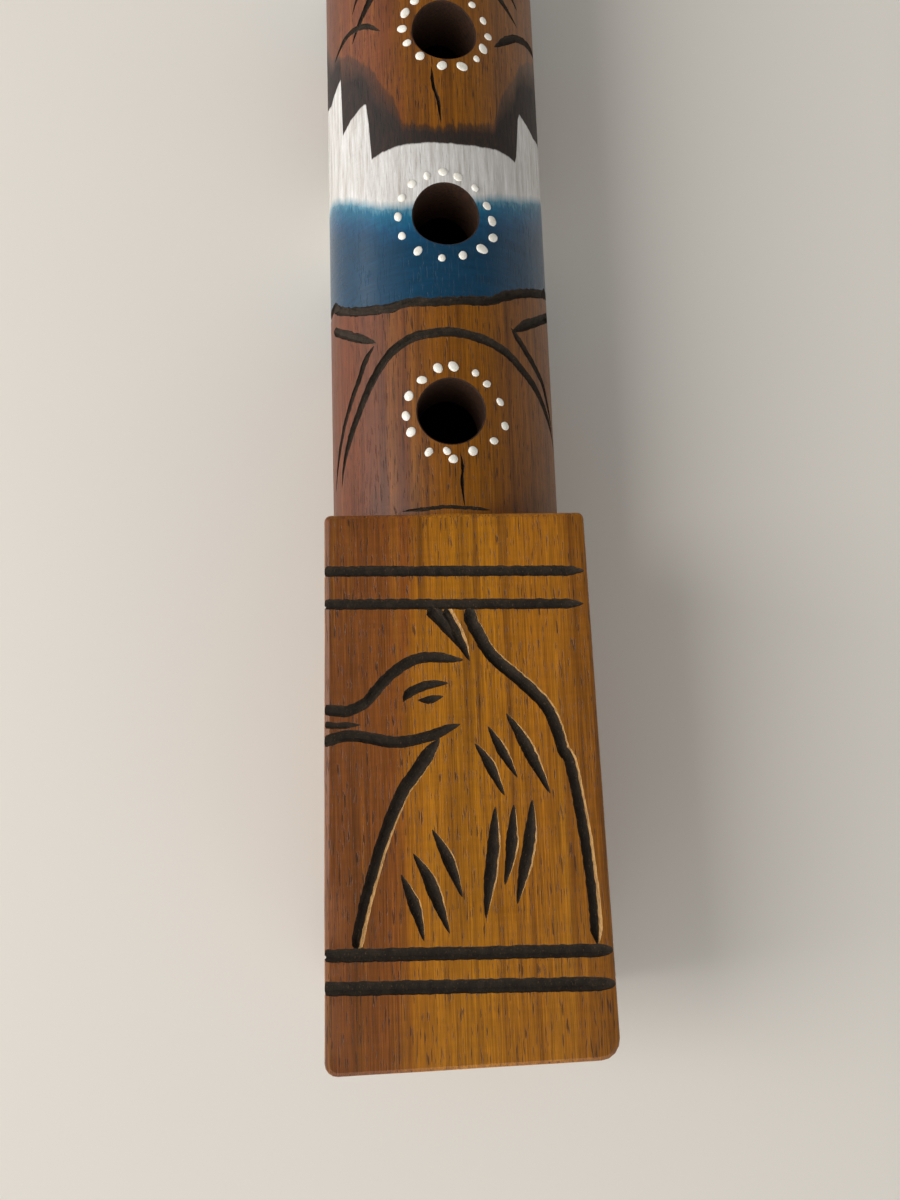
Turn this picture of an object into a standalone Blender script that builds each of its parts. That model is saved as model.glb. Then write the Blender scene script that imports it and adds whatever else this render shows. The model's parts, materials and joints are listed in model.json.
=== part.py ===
"""Tarka: a square-ended duct flute of the high Andes, for a player's two hands.

The body is one block of hardwood. A square head and a square foot are left at its ends
and the middle is rounded down to a barrel, so the three share their grain. It is bored
from end to end. Six finger holes open the front of the barrel, and a window with a
sloping lip opens the front of the head. A round wooden plug with a flat top closes the
bore at the mouth and leaves a narrow windway above it, which leads the breath to the lip.

Units are metres. X runs across the flute, +Y from the foot to the mouth, and +Z out of
the finger holes. The flute lies on the flat backs of its head and foot at Z = 0, with
the origin below the middle of its length.
"""
from math import atan, pi, radians

import bmesh
import bpy
from mathutils import Matrix, Vector

MM = 0.001

# Lengths of the three stretches of the body, foot to mouth
FOOT_LENGTH = 70.0 * MM
BARREL_LENGTH = 280.0 * MM
HEAD_LENGTH = 80.0 * MM

# The square ends: their sides flare a little towards the flute's two ends
BLOCK_THICKNESS = 35.0 * MM
SHOULDER_WIDTH = 35.0 * MM
FOOT_END_WIDTH = 36.8 * MM
MOUTH_END_WIDTH = 36.8 * MM
BLOCK_EDGE_RADIUS = 1.0 * MM

# The round middle and the bore
BARREL_RADIUS = 17.0 * MM
BORE_RADIUS = 8.5 * MM

# Finger holes, counted up from the foot's shoulder
HOLE_COUNT = 6
HOLE_RADIUS = 4.6 * MM
HOLE_SPACING = 29.2 * MM
FIRST_HOLE_RISE = 14.4 * MM

# The plug, the windway over it and the window that it leads to
PLUG_LENGTH = 42.0 * MM
PLUG_CLEARANCE = 0.3 * MM
WINDWAY_WIDTH = 10.0 * MM
WINDWAY_HEIGHT = 2.2 * MM
WINDWAY_ROOF_RISE = 0.3 * MM
WINDOW_SIDE_MARGIN = 0.5 * MM
WINDOW_LENGTH = 9.0 * MM
LIP_THICKNESS = 0.8 * MM
LIP_SLOPE_LENGTH = 13.0 * MM

# Carved bands: pairs of gouge cuts across all four faces of both blocks
BAND_WIDTH = 1.5 * MM
BAND_DEPTH = 0.8 * MM
BAND_SPACING = 4.2 * MM
BAND_END_MARGIN = 0.7 * MM
BAND_POINT_LENGTH = 4.0 * MM
BAND_CUTTER_RISE = 0.3 * MM
SHOULDER_BAND_SETBACK = 8.2 * MM
END_BAND_SETBACK = 9.8 * MM

# How far a cutter runs past the surface that it opens, and a joined shape into the next
CUT_PAST = 2.0 * MM
JOIN_DEPTH = 4.0 * MM

BARREL_FACETS = 80
BORE_FACETS = 48
HOLE_FACETS = 32
EDGE_SEGMENTS = 2
SHARP_ANGLE = radians(35)

# Places worked out from the sizes above
LENGTH = FOOT_LENGTH + BARREL_LENGTH + HEAD_LENGTH
FOOT_Y = -LENGTH / 2
FOOT_SHOULDER_Y = FOOT_Y + FOOT_LENGTH
HEAD_SHOULDER_Y = FOOT_SHOULDER_Y + BARREL_LENGTH
MOUTH_Y = HEAD_SHOULDER_Y + HEAD_LENGTH
AXIS_Z = BLOCK_THICKNESS / 2
FRONT_Z = BLOCK_THICKNESS
WINDWAY_ROOF_Z = AXIS_Z + BORE_RADIUS + WINDWAY_ROOF_RISE
PLUG_RADIUS = BORE_RADIUS - PLUG_CLEARANCE
PLUG_FLAT_Z = WINDWAY_ROOF_Z - WINDWAY_HEIGHT
PLUG_INNER_Y = MOUTH_Y - PLUG_LENGTH
WINDOW_LIP_Y = PLUG_INNER_Y - WINDOW_LENGTH
WINDOW_WIDTH = WINDWAY_WIDTH + 2 * WINDOW_SIDE_MARGIN
LIP_Z = AXIS_Z + BORE_RADIUS + LIP_THICKNESS


def clear_scene():
    for obj in list(bpy.data.objects):
        bpy.data.objects.remove(obj, do_unlink=True)


def wood(name, colour, roughness):
    material = bpy.data.materials.new(name)
    material.use_nodes = True
    shader = material.node_tree.nodes["Principled BSDF"]
    shader.inputs["Base Color"].default_value = (*colour, 1.0)
    shader.inputs["Roughness"].default_value = roughness
    shader.inputs["Metallic"].default_value = 0.0
    return material


def make_object(name, shape, material=None):
    """Turn a bmesh into a named object with its faces outwards."""
    bmesh.ops.recalc_face_normals(shape, faces=shape.faces[:])
    mesh = bpy.data.meshes.new(name)
    shape.to_mesh(mesh)
    shape.free()
    obj = bpy.data.objects.new(name, mesh)
    bpy.context.scene.collection.objects.link(obj)
    if material is not None:
        mesh.materials.append(material)
    return obj


def as_cutter(obj):
    obj.hide_render = True
    obj.display_type = 'WIRE'
    return obj


def add_boolean(obj, operation, other):
    """Join or cut with another object; EXACT is the modifier's default solver."""
    modifier = obj.modifiers.new(f"{operation.lower()} {other.name}", 'BOOLEAN')
    modifier.operation = operation
    modifier.object = other


def cylinder_between(start, end, radius, facets):
    """A closed cylinder from start to end, as a bmesh."""
    start = Vector(start)
    run = Vector(end) - start
    turn = run.to_track_quat('Z', 'Y').to_matrix().to_4x4()
    place = Matrix.Translation(start + run / 2) @ turn
    shape = bmesh.new()
    bmesh.ops.create_cone(shape, cap_ends=True, segments=facets, radius1=radius,
                          radius2=radius, depth=run.length, matrix=place)
    return shape


def box_between(low, high):
    """A closed box between two corners, as a bmesh."""
    low = Vector(low)
    high = Vector(high)
    shape = bmesh.new()
    place = Matrix.Translation((low + high) / 2) @ Matrix.Diagonal((*(high - low), 1.0))
    bmesh.ops.create_cube(shape, size=1.0, matrix=place)
    return shape


def extruded_profile(points_yz, width):
    """A prism across the flute, centred on X = 0, from an outline in Y and Z."""
    shape = bmesh.new()
    corners = [shape.verts.new((-width / 2, y, z)) for y, z in points_yz]
    outline = shape.faces.new(corners)
    swept = bmesh.ops.extrude_face_region(shape, geom=[outline])
    moved = [item for item in swept["geom"] if isinstance(item, bmesh.types.BMVert)]
    bmesh.ops.translate(shape, verts=moved, vec=(width, 0, 0))
    return shape


def square_block(shoulder_y, end_y, end_width):
    """A square end of the flute, flared from its shoulder to its end, edges eased."""
    low_y = min(shoulder_y, end_y)
    high_y = max(shoulder_y, end_y)
    shape = box_between((-0.5, low_y, 0), (0.5, high_y, BLOCK_THICKNESS))
    for vert in shape.verts:
        at_end = abs(vert.co.y - end_y) < abs(vert.co.y - shoulder_y)
        vert.co.x *= end_width if at_end else SHOULDER_WIDTH
    bmesh.ops.bevel(shape, geom=shape.edges[:], offset=BLOCK_EDGE_RADIUS, affect='EDGES',
                    segments=EDGE_SEGMENTS, profile=0.5, material=-1)
    return shape


def gouge_cut(length):
    """A straight cut along X in a face at Z = 0: V-shaped, rising to a point at each end.

    The cutter stands a little above the face, so it is longer and wider there."""
    overshoot = 1 + BAND_CUTTER_RISE / BAND_DEPTH
    straight = length / 2 - BAND_POINT_LENGTH
    tip = straight + BAND_POINT_LENGTH * overshoot
    side = BAND_WIDTH / 2 * overshoot
    shape = bmesh.new()
    ends = [shape.verts.new((x, 0, BAND_CUTTER_RISE)) for x in (-tip, tip)]
    rings = [[shape.verts.new((x, -side, BAND_CUTTER_RISE)),
              shape.verts.new((x, 0, -BAND_DEPTH)),
              shape.verts.new((x, side, BAND_CUTTER_RISE))] for x in (-straight, straight)]
    for index in range(3):
        after = (index + 1) % 3
        shape.faces.new((rings[0][index], rings[1][index], rings[1][after], rings[0][after]))
        for end, ring in zip(ends, rings):
            shape.faces.new((end, ring[index], ring[after]))
    return shape


def block_width(y, shoulder_y, end_y, end_width):
    """The width of a flared block at a place along the flute."""
    share = (y - shoulder_y) / (end_y - shoulder_y)
    return SHOULDER_WIDTH + share * (end_width - SHOULDER_WIDTH)


def joined(shapes):
    """Several separate bmeshes as one."""
    whole = bmesh.new()
    for shape in shapes:
        piece = bpy.data.meshes.new("piece")
        shape.to_mesh(piece)
        shape.free()
        whole.from_mesh(piece)
        bpy.data.meshes.remove(piece)
    return whole


def band_places(shoulder_y, end_y):
    """The four bands of a block: a pair near its shoulder and a pair near its end."""
    inwards = 1 if end_y > shoulder_y else -1
    steps = (0, BAND_SPACING)
    near_shoulder = [shoulder_y + inwards * (SHOULDER_BAND_SETBACK + step) for step in steps]
    near_end = [end_y - inwards * (END_BAND_SETBACK + step) for step in steps]
    return near_shoulder + near_end


def front_and_back_bands(name, shoulder_y, end_y, end_width):
    """Cutters for the bands across a block's front and back."""
    cuts = []
    for y in band_places(shoulder_y, end_y):
        width = block_width(y, shoulder_y, end_y, end_width)
        for z, turn in ((FRONT_Z, 0), (0, pi)):
            cut = gouge_cut(width - 2 * BAND_END_MARGIN)
            cut.transform(Matrix.Translation((0, y, z)) @ Matrix.Rotation(turn, 4, 'Y'))
            cuts.append(cut)
    return as_cutter(make_object(name, joined(cuts)))


def side_bands(name, shoulder_y, end_y, end_width):
    """Cutters for the bands across a block's two flared sides."""
    lean = atan((end_width - SHOULDER_WIDTH) / 2 / (end_y - shoulder_y))
    cuts = []
    for y in band_places(shoulder_y, end_y):
        width = block_width(y, shoulder_y, end_y, end_width)
        for side in (-1, 1):
            cut = gouge_cut(BLOCK_THICKNESS - 2 * BAND_END_MARGIN)
            cut.transform(Matrix.Translation((side * width / 2, y, AXIS_Z))
                          @ Matrix.Rotation(-side * lean, 4, 'Z')
                          @ Matrix.Rotation(side * pi / 2, 4, 'Y'))
            cuts.append(cut)
    return as_cutter(make_object(name, joined(cuts)))


def finger_hole_cutters():
    """Plain holes in a row, from the bore's axis out through the front."""
    holes = []
    for number in range(HOLE_COUNT):
        y = FOOT_SHOULDER_Y + FIRST_HOLE_RISE + number * HOLE_SPACING
        top = AXIS_Z + BARREL_RADIUS + CUT_PAST
        holes.append(cylinder_between((0, y, AXIS_Z), (0, y, top), HOLE_RADIUS, HOLE_FACETS))
    return as_cutter(make_object("finger_hole_cutters", joined(holes)))


def window_outline():
    """The window and the slope pared down to its lip, seen from the side, in Y and Z."""
    above = FRONT_Z + CUT_PAST
    slope = (FRONT_Z - LIP_Z) / LIP_SLOPE_LENGTH
    slope_top_y = WINDOW_LIP_Y - (above - LIP_Z) / slope
    return ((slope_top_y, above), (WINDOW_LIP_Y, LIP_Z), (WINDOW_LIP_Y, AXIS_Z),
            (PLUG_INNER_Y, AXIS_Z), (PLUG_INNER_Y, above))


def make_body(material):
    """Head, barrel and foot as one block of wood, bored, holed and carved."""
    foot = make_object("body", square_block(FOOT_SHOULDER_Y, FOOT_Y, FOOT_END_WIDTH), material)
    head = as_cutter(make_object(
        "head_block", square_block(HEAD_SHOULDER_Y, MOUTH_Y, MOUTH_END_WIDTH), material))
    barrel = as_cutter(make_object("barrel", cylinder_between(
        (0, FOOT_SHOULDER_Y - JOIN_DEPTH, AXIS_Z),
        (0, HEAD_SHOULDER_Y + JOIN_DEPTH, AXIS_Z), BARREL_RADIUS, BARREL_FACETS), material))
    for block in (barrel, head):
        add_boolean(foot, 'UNION', block)

    bore = as_cutter(make_object("bore_cutter", cylinder_between(
        (0, FOOT_Y - CUT_PAST, AXIS_Z), (0, MOUTH_Y + CUT_PAST, AXIS_Z),
        BORE_RADIUS, BORE_FACETS)))
    windway = as_cutter(make_object("windway_cutter", box_between(
        (-WINDWAY_WIDTH / 2, PLUG_INNER_Y - WINDOW_LENGTH / 2, AXIS_Z),
        (WINDWAY_WIDTH / 2, MOUTH_Y + CUT_PAST, WINDWAY_ROOF_Z))))
    window = as_cutter(make_object(
        "window_cutter", extruded_profile(window_outline(), WINDOW_WIDTH)))
    foot_sizes = (FOOT_SHOULDER_Y, FOOT_Y, FOOT_END_WIDTH)
    head_sizes = (HEAD_SHOULDER_Y, MOUTH_Y, MOUTH_END_WIDTH)
    bands = [
        front_and_back_bands("foot_face_band_cutters", *foot_sizes),
        side_bands("foot_side_band_cutters", *foot_sizes),
        front_and_back_bands("head_face_band_cutters", *head_sizes),
        side_bands("head_side_band_cutters", *head_sizes),
    ]
    for cutter in (bore, windway, window, finger_hole_cutters(), *bands):
        add_boolean(foot, 'DIFFERENCE', cutter)
    return foot


def make_windway_plug(material):
    """The round plug with its flat top, flush with the mouth end of the head."""
    shape = cylinder_between((0, PLUG_INNER_Y, AXIS_Z), (0, MOUTH_Y, AXIS_Z),
                             PLUG_RADIUS, BORE_FACETS)
    everything = shape.verts[:] + shape.edges[:] + shape.faces[:]
    cut = bmesh.ops.bisect_plane(shape, geom=everything, plane_co=(0, 0, PLUG_FLAT_Z),
                                 plane_no=(0, 0, 1), clear_outer=True)
    rim = [item for item in cut["geom_cut"] if isinstance(item, bmesh.types.BMEdge)]
    bmesh.ops.contextual_create(shape, geom=rim)
    return make_object("windway_plug", shape, material)


def main():
    clear_scene()
    body_wood = wood("varnished_hardwood", (0.34, 0.145, 0.045), 0.38)
    plug_wood = wood("plug_wood", (0.42, 0.235, 0.095), 0.6)
    for piece in (make_body(body_wood), make_windway_plug(plug_wood)):
        piece.data.shade_smooth()
        piece.data.set_sharp_from_angle(angle=SHARP_ANGLE)


main()
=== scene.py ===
# %% [markdown]
# # A carved and painted tarka
# A tarka is a duct flute of the high Andes. Its maker leaves the head and the foot square,
# rounds the middle, gouges lines into the wood and stains them black, then varnishes the
# flute and paints a lake with snow peaks round some of its finger holes.
# This lesson takes the measured model of the flute, carves a finer copy of its body,
# gives it wood, stain and paint, and adds the raised dots of enamel round the holes.

# %% Load the measured model
import json
from math import atan2, ceil, cos, hypot, pi, radians, sin, sqrt, tan
from random import Random

import bmesh
import bpy
from mathutils import Matrix, Vector, noise


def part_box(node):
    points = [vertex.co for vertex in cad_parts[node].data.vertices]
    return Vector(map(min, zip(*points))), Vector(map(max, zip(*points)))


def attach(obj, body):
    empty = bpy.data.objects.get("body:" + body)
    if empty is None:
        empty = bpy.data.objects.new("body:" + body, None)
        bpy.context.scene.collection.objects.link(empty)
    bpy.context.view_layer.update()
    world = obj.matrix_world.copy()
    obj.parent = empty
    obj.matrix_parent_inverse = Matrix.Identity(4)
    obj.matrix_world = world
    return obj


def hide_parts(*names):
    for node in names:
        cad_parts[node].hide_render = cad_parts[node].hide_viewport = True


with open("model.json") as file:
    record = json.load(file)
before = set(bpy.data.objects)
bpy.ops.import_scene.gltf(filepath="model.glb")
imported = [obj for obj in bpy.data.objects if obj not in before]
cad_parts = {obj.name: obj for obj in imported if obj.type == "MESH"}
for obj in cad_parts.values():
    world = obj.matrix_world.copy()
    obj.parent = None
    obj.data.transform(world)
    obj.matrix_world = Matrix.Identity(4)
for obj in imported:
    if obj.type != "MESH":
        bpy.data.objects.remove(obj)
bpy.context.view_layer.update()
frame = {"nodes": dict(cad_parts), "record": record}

# %% [markdown]
# ## Sizes
# The measured model says how long and how thick the flute is, and its record says where
# the holes are. The few sizes that neither of them tells are written here in millimetres,
# as a maker would, and turned into metres by the factor MM.

# %% Sizes of the flute
MM = 0.001
body_low, body_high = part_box("body")
plug_low, plug_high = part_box("windway_plug")
FOOT_Y = body_low.y
MOUTH_Y = body_high.y
FRONT_Z = body_high.z
AXIS_Z = (body_low.z + body_high.z) / 2
FOOT_LENGTH = 70 * MM
HEAD_LENGTH = 80 * MM
SHOULDER_HALF_WIDTH = 17.5 * MM
END_HALF_WIDTH = body_high.x
BARREL_RADIUS = 17 * MM
BORE_RADIUS = 8.5 * MM
HOLE_RADIUS = 4.6 * MM
FOOT_SHOULDER_Y = FOOT_Y + FOOT_LENGTH
HEAD_SHOULDER_Y = MOUTH_Y - HEAD_LENGTH

openings = {box["name"]: box["box_m"] for box in frame["record"]["physics"]["openings"]}
hole_ys = [(low[1] + high[1]) / 2 for name, (low, high) in sorted(openings.items())
           if name.startswith("finger_hole")]
HOLE_PITCH = hole_ys[1] - hole_ys[0]
print(f"{len(hole_ys)} finger holes, {HOLE_PITCH / MM:.1f} mm apart")

# %% [markdown]
# ## The camera comes first
# The picture was taken from a hand's breadth above the foot, looking down and a little
# towards the mouth end. Places on the flute can then be written as places in the picture,
# 900 wide and 1200 high, because a ray through the camera finds them on the wood.

# %% The camera
PICTURE_WIDTH = 900
PICTURE_HEIGHT = 1200
FOCAL_PIXELS = 902
SENSOR_MM = 36
CAMERA_FROM_FOOT_MM = (-10.67, 40.34, 134.47)
CAMERA_TURN_DEGREES = (8.80, -4.35, -1.93)

camera_data = bpy.data.cameras.new("camera")
camera_data.sensor_width = SENSOR_MM
camera_data.lens = SENSOR_MM * FOCAL_PIXELS / PICTURE_HEIGHT
camera_data.clip_start = 5 * MM
camera_data.clip_end = 20
camera = bpy.data.objects.new("camera", camera_data)
bpy.context.scene.collection.objects.link(camera)
camera.location = Vector((0, FOOT_Y, AXIS_Z)) + Vector(CAMERA_FROM_FOOT_MM) * MM
camera.rotation_euler = [radians(angle) for angle in CAMERA_TURN_DEGREES]
bpy.context.scene.camera = camera
camera_turn = camera.rotation_euler.to_matrix()


def picture_ray(px, py):
    """The direction from the camera through a place in the picture."""
    across = (px - PICTURE_WIDTH / 2) / FOCAL_PIXELS
    up = (PICTURE_HEIGHT / 2 - py) / FOCAL_PIXELS
    return camera_turn @ Vector((across, up, -1))


print(f"the camera is {camera.location.z / MM:.0f} mm above the table")

# %% [markdown]
# ## Drawing on the wood
# Every line on the flute is drawn on a flat sheet first: u runs across the surface and y
# along the flute, both in metres. A lay function then wraps the sheet round the barrel or
# on to one side of a square block, and gives the surface's outward direction there.

# %% Sheets for the barrel and the blocks
def lay_on_barrel(u, y):
    angle = u / BARREL_RADIUS
    out = Vector((sin(angle), 0, cos(angle)))
    return Vector((0, y, AXIS_Z)) + out * BARREL_RADIUS, out


def block_half_width(y):
    """The blocks flare from their shoulders to the flute's ends."""
    if y < 0:
        share = (FOOT_SHOULDER_Y - y) / FOOT_LENGTH
    else:
        share = (y - HEAD_SHOULDER_Y) / HEAD_LENGTH
    return SHOULDER_HALF_WIDTH + share * (END_HALF_WIDTH - SHOULDER_HALF_WIDTH)


def lay_on_block(side):
    """Sides 0 to 3 are the front, the right, the back and the left."""
    def lay(u, y):
        half = block_half_width(y)
        places = ((u, FRONT_Z), (half, AXIS_Z - u), (-u, 0), (-half, AXIS_Z + u))
        outs = ((0, 1), (1, 0), (0, -1), (-1, 0))
        (x, z), (out_x, out_z) = places[side], outs[side]
        return Vector((x, y, z)), Vector((out_x, 0, out_z))
    return lay


def seen_on_front(px, py):
    """The place on the blocks' front that the picture shows at a pixel, as u and y."""
    ray = picture_ray(px, py)
    place = camera.location + ray * ((FRONT_Z - camera.location.z) / ray.z)
    return place.x, place.y


def seen_on_barrel(px, py):
    """The place on the barrel that the picture shows at a pixel, as u and y."""
    ray = picture_ray(px, py)
    eye_x, eye_z = camera.location.x, camera.location.z - AXIS_Z
    a = ray.x ** 2 + ray.z ** 2
    b = 2 * (eye_x * ray.x + eye_z * ray.z)
    c = eye_x ** 2 + eye_z ** 2 - BARREL_RADIUS ** 2
    reach = (-b - sqrt(max(b * b - 4 * a * c, 0))) / (2 * a)
    angle = atan2(eye_x + ray.x * reach, eye_z + ray.z * reach)
    return angle * BARREL_RADIUS, camera.location.y + ray.y * reach


print("the lowest finger hole shows at u, y =", *seen_on_barrel(452.9, 411.3))

# %% [markdown]
# ## One list of finishes
# A boolean cut leaves the cutter's own finish on the walls that it makes, if both meshes list
# their materials in the same order. So the body and every gouge share one list, and a face only
# needs a number: wood, black stain, pale bare wood, which on the strokes' walls facing the lamp
# is also a painted highlight, or the raw inside.

# %% Names for the finishes
WOOD, STAIN, BARE_WOOD_AND_HIGHLIGHT, RAW = range(4)
finishes = [bpy.data.materials.new(name) for name in
            ("varnished_wood", "black_stain", "bare_wood_and_painted_highlight", "raw_bore_wood")]


def to_object(shape, name, smooth=True):
    """Turn a bmesh into an object with its place in its mesh."""
    mesh = bpy.data.meshes.new(name)
    bmesh.ops.recalc_face_normals(shape, faces=shape.faces[:])
    shape.to_mesh(mesh)
    shape.free()
    if smooth:
        mesh.shade_smooth()
    obj = bpy.data.objects.new(name, mesh)
    bpy.context.scene.collection.objects.link(obj)
    return obj


def with_finishes(obj):
    for material in finishes:
        obj.data.materials.append(material)
    return obj


print(len(finishes), "finishes on the body")

# %% [markdown]
# ## A gouge stroke
# A gouge goes in at a point, widens, and comes out at a point. The cutter for one stroke is
# a plank of quads rolled into a tube: its columns are stations along the stroke and its
# Small random steps leave the torn edges that a hand tool leaves, and the last strip of the
# section, on the wall that faces the lamp, can get pale bare wood, partly cut wood and partly a
# painted highlight.

# %% Strokes
LIFT = 0.35 * MM
THIN = 0.02 * MM
ROUND_SECTION = ((-1.15, None), (-0.9, 0.5), (-0.4, 0.95), (0.4, 1.0), (0.9, 0.5), (1.15, None))
dice = Random(7)


def smooth_path(points, step):
    """Points about a step apart on a smooth curve through the given ones."""
    given = [Vector(point) for point in points]
    given = [2 * given[0] - given[1], *given, 2 * given[-1] - given[-2]]
    path = []
    for a, b, c, d in zip(given, given[1:], given[2:], given[3:]):
        count = max(1, round((c - b).length / step))
        for index in range(count):
            t = index / count
            path.append((2 * b + (c - a) * t + (2 * a - 5 * b + 4 * c - d) * t * t
                         + (3 * b - a - 3 * c + d) * t ** 3) / 2)
    path.append(given[-2])
    return path


def bright_section(lit_wall_from):
    """A section whose right wall, the one that faces the lamp, is pale bare wood with a painted
    highlight from a share of the half width outwards.
    """
    return ((-1.1, None), (-0.9, 0.7), (-0.45, 1.0), (min(0.1, lit_wall_from - 0.2), 1.0),
            (lit_wall_from, 0.8 - 0.55 * lit_wall_from), (1.1, None))


def rolled_plank(stations):
    """A closed tube through rings of places; each ring has as many corners."""
    corners = len(stations[0])
    columns = len(stations)
    shape = bmesh.new()
    bmesh.ops.create_grid(shape, x_segments=columns - 1, y_segments=corners, size=1)
    for face in shape.faces:
        row = int((face.calc_center_median().y + 1) / 2 * corners)
        face.material_index = row
    for vert in shape.verts:
        column = round((vert.co.x + 1) / 2 * (columns - 1))
        row = round((vert.co.y + 1) / 2 * corners)
        vert.co = stations[column][row % corners]
    bmesh.ops.remove_doubles(shape, verts=shape.verts, dist=1e-7)
    bmesh.ops.holes_fill(shape, edges=shape.edges)
    return shape


def stroke(name, points, lay, width, depth, tips=(3, 3), bare=None, rough=0.04, step=0.6):
    """The cutter of one gouge stroke; tips, rough and step are in millimetres.

    bare gives the share of the half width where the bright wall starts, at both ends: pale bare
    wood on the wall that faces the lamp, partly a painted highlight."""
    path = smooth_path(points, step * MM)
    lengths = [0.0]
    for here, after in zip(path, path[1:]):
        lengths.append(lengths[-1] + (after - here).length)
    side_of_light = 1 if path[-1].y > path[0].y or bare is None else -1
    stations = []
    for index, (point, run) in enumerate(zip(path, lengths)):
        place, out = lay(*point)
        before = lay(*path[max(index - 1, 0)])[0]
        after = lay(*path[min(index + 1, len(path) - 1)])[0]
        across = (after - before).cross(out).normalized() * side_of_light
        grown = min(1.0, (run + THIN) / (tips[0] * MM + THIN),
                    (lengths[-1] - run + THIN) / (tips[1] * MM + THIN)) ** 0.6
        half = max(width * MM / 2 * grown, THIN)
        share = run / lengths[-1]
        section = ROUND_SECTION if bare is None else bright_section(
            bare[0] + (bare[1] - bare[0]) * share)
        ring = []
        for side, drop in section:
            height = LIFT if drop is None else -depth * MM * grown * drop
            shift = dice.uniform(-rough, rough) * MM * grown
            ring.append(place + across * (side * half + shift) + out * (height + shift / 2))
        stations.append(ring)
    shape = rolled_plank(stations)
    # The last strip, on the wall that faces the lamp, gets pale bare wood, partly a painted
    # highlight
    for face in shape.faces:
        bright = bare is not None and face.material_index == len(ROUND_SECTION) - 2
        face.material_index = BARE_WOOD_AND_HIGHLIGHT if bright else STAIN
    return with_finishes(to_object(shape, name, smooth=False))


print("a stroke's section has", len(ROUND_SECTION), "corners")

# %% [markdown]
# ## The blank
# The maker starts from one squared block and turns or planes its middle round. Here the
# two square ends and the barrel are three closed meshes that a boolean joins. The arrises
# of the ends are eased, two corners of the foot more than the others, as on the real one,
# and the flats are left a little uneven by pushing their points inwards by a smooth noise.

# %% Square ends
EDGE_EASE = 0.7 * MM
CORNER_EASE = 0.9 * MM
FOOT_CORNER_EASES = {-1: 1.7 * MM, 1: 2.6 * MM}
UNEVENNESS = 0.12 * MM
SLICE = 3.9 * MM


def everything(shape):
    return shape.verts[:] + shape.edges[:] + shape.faces[:]


def sliced(shape, axis, low, high):
    """Cut all round at even steps along an axis, so that later steps have points to move."""
    count = int((high - low) / SLICE)
    normal = Vector([float(axis == index) for index in range(3)])
    for step in range(1, count):
        place = normal * (low + (high - low) * step / count)
        bmesh.ops.bisect_plane(shape, geom=everything(shape), plane_co=place, plane_no=normal)


def square_end(name, shoulder_y, end_y):
    low_y, high_y = sorted((shoulder_y, end_y))
    shape = bmesh.new()
    place = (Matrix.Translation((0, (low_y + high_y) / 2, AXIS_Z))
             @ Matrix.Diagonal((1, high_y - low_y, FRONT_Z, 1)))
    bmesh.ops.create_cube(shape, size=1, matrix=place)
    for vert in shape.verts:
        vert.co.x *= 2 * block_half_width(vert.co.y)
    for side in (-1, 1):
        for y in (shoulder_y, end_y):
            upright = [edge for edge in shape.edges
                       if all(vert.co.x * side > 0 and abs(vert.co.y - y) < 0.1 * MM
                              for vert in edge.verts)]
            ease = FOOT_CORNER_EASES[side] if y == FOOT_Y else CORNER_EASE
            bmesh.ops.bevel(shape, geom=upright, offset=ease, affect='EDGES', segments=4,
                            profile=0.5, material=-1)
    arrises = [edge for edge in shape.edges if edge.calc_face_angle(0) > radians(50)]
    bmesh.ops.bevel(shape, geom=arrises, offset=EDGE_EASE, affect='EDGES', segments=2,
                    profile=0.5, material=-1)
    sliced(shape, 0, -END_HALF_WIDTH, END_HALF_WIDTH)
    sliced(shape, 1, low_y, high_y)
    sliced(shape, 2, 0, FRONT_Z)
    bmesh.ops.recalc_face_normals(shape, faces=shape.faces[:])
    shape.normal_update()
    inwards = {vert: -vert.normal for vert in shape.verts}
    for vert, inward in inwards.items():
        push = 0.5 + 0.5 * noise.noise(vert.co * 130)
        vert.co += inward * UNEVENNESS * min(max(push, 0), 1)
    return with_finishes(to_object(shape, name))


body = square_end("carved_body", FOOT_SHOULDER_Y, FOOT_Y)
head = square_end("head_blank", HEAD_SHOULDER_Y, MOUTH_Y)
print("the foot has", len(body.data.polygons), "faces before it is carved")

# %% The barrel
BARREL_SEGMENTS = 180
JOIN_DEPTH = 4 * MM


def cylinder(name, low_y, high_y, radius, end_radius=None, segments=BARREL_SEGMENTS):
    """A closed cylinder or cone along the flute, from its foot side to its mouth side."""
    shape = bmesh.new()
    place = Matrix.Translation((0, (low_y + high_y) / 2, AXIS_Z)) @ Matrix.Rotation(
        -pi / 2, 4, 'X')
    bmesh.ops.create_cone(shape, cap_ends=True, segments=segments, radius1=radius,
                          radius2=end_radius or radius, depth=high_y - low_y, matrix=place)
    return with_finishes(to_object(shape, name))


barrel = cylinder("barrel_blank", FOOT_SHOULDER_Y - JOIN_DEPTH, HEAD_SHOULDER_Y + JOIN_DEPTH,
                  BARREL_RADIUS)
print("the barrel is", round(2 * BARREL_RADIUS / MM, 1), "mm across")

# %% [markdown]
# ## Bore, finger holes, window and windway
# The bore runs from end to end. A burnt or drilled finger hole has a softly rounded rim that
# follows the round barrel, so its cutter is a tube whose rings widen just under the surface.
# The window, its sloping lip and the windway are one outline pushed out sideways.

# %% Cutters for the openings
CUT_PAST = 2 * MM
MOUTH_EASE = 0.5 * MM
HOLE_SEGMENTS = 56
HOLE_RINGS = ((0, -12), (0, -0.35), (0.06, -0.14), (0.2, -0.02), (0.6, 0.25), (1.0, 1.5))
HOLE_DRIFTS = {2: 0.2 * MM, 3: 0.9 * MM}
WINDOW_WIDTH = 11 * MM
WINDOW_LENGTH = 9 * MM
WINDWAY_WIDTH = 10 * MM
WINDWAY_ROOF_Z = AXIS_Z + 8.8 * MM
LIP_Z = AXIS_Z + 9.3 * MM
LIP_SLOPE_LENGTH = 13 * MM


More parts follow.
